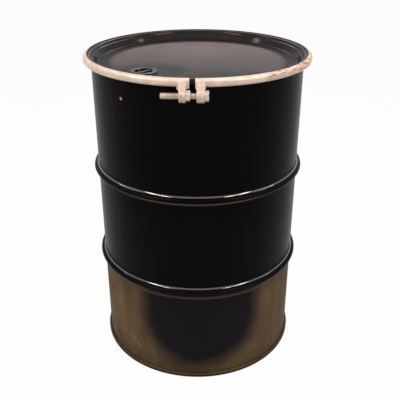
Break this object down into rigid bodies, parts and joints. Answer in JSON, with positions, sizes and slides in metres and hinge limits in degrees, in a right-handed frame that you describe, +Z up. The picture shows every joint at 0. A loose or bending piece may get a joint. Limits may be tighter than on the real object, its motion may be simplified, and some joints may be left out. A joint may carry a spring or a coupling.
{
  "type": "open-head steel drum",
  "caption": "Large upright steel drum with two rolling hoops and a recessed removable lid clamped by a bolted ring, with a threaded filling bung in the lid.",
  "frame": {"origin": "on the drum's axis, in the plane of the flat that the bottom chime stands on", "axes": "+Z up the drum's axis to the mouth; -Y through the gap in the clamp ring, with its lugs and bolt; the bolt lies along X with its head towards +X"},
  "size_m": [0.615, 0.635, 0.89],
  "materials": {
    "black_paint": "gloss black enamel, scuffed, with a brown film of rust dust low down",
    "lid_paint": "gloss black enamel, dusty",
    "galvanised_steel": "dull zinc coat with tan and rust streaks",
    "plated_steel": "dull zinc plate, stained",
    "gasket_rubber": "matt",
    "seam_compound": "matt"
  },
  "bodies": {
    "drum": {"shell": "black_paint", "bottom_head": "black_paint", "seam_sealant": "seam_compound", "lid": "lid_paint", "lid_gasket": "gasket_rubber", "bung_flange": "plated_steel", "flange_gasket": "gasket_rubber", "closing_ring": "galvanised_steel", "threaded_lug": "galvanised_steel", "plain_lug": "galvanised_steel"},
    "plug_gasket": {"plug_gasket": "gasket_rubber"},
    "bung_plug": {"bung_plug": "lid_paint"},
    "lock_nut": {"lock_nut": "plated_steel"},
    "ring_bolt": {"ring_bolt": "plated_steel"}
  },
  "joints": [
    {"name": "plug_lift", "type": "slide", "parent": "drum", "child": "plug_gasket", "axis": [0, 0, 1], "range_m": [0, 0.01436]},
    {"name": "plug_turn", "type": "hinge", "parent": "plug_gasket", "child": "bung_plug", "pos_m": [-0.12871, -0.15503, 0.8702], "axis": [0, 0, 1], "range_deg": [0, 2340]},
    {"name": "bolt_travel", "type": "slide", "parent": "drum", "child": "lock_nut", "axis": [1, 0, 0], "range_m": [0, 0.0127]},
    {"name": "bolt_turn", "type": "hinge", "parent": "lock_nut", "child": "ring_bolt", "pos_m": [0.02865, -0.312, 0.8518], "axis": [1, 0, 0], "range_deg": [0, 1980]}
  ],
  "couplings": [
    {"joint": "plug_turn", "follows": "plug_lift", "rad_per_m": 2844.8},
    {"joint": "bolt_turn", "follows": "bolt_travel", "rad_per_m": 2721.1}
  ]
}
